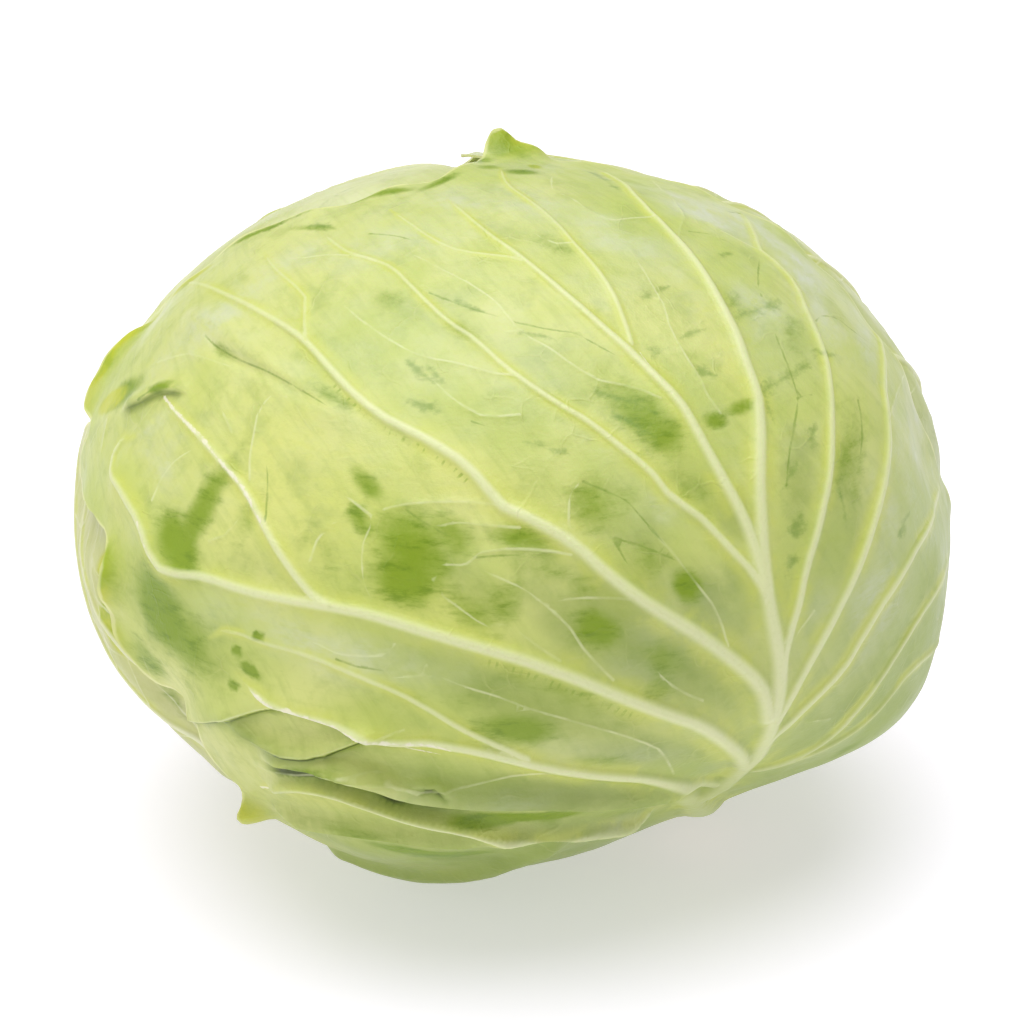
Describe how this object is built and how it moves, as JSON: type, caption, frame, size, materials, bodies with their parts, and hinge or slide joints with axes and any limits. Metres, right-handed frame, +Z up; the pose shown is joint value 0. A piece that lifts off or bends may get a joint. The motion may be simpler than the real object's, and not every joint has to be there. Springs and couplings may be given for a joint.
{
  "type": "cabbage head",
  "caption": "Flat-round white cabbage head lying on its side, with loose ribbed wrapper leaves, a curled leaf tab on top, pleats low at the left and a cut stalk underneath",
  "frame": {"origin": "the middle of the flat spot under the head, where it touches the table", "axes": "+X runs along the head's greatest width, to the right of a viewer who faces the midrib; +Y runs away from that viewer, to the back leaf; +Z is up, along the head's least extent, from the flat spot to the top"},
  "size_m": [0.2178, 0.206, 0.1754],
  "materials": {
    "outer_leaf_skin": "waxy, light green with pale ribs and darker green patches",
    "under_leaf_skin": "waxy, pale yellow green with pale ribs",
    "side_leaf_skin": "waxy, pale grey green with pale ribs",
    "back_leaf_skin": "waxy, pale green with pale ribs",
    "heart_skin": "waxy, pale cream green",
    "cut_stalk": "matt, cream cut face with a drier rim"
  },
  "bodies": {
    "root": {"front_leaf": "outer_leaf_skin", "under_leaf": "under_leaf_skin", "side_leaf": "side_leaf_skin", "back_leaf": "back_leaf_skin", "heart": "heart_skin", "stalk": "cut_stalk"}
  },
  "joints": []
}
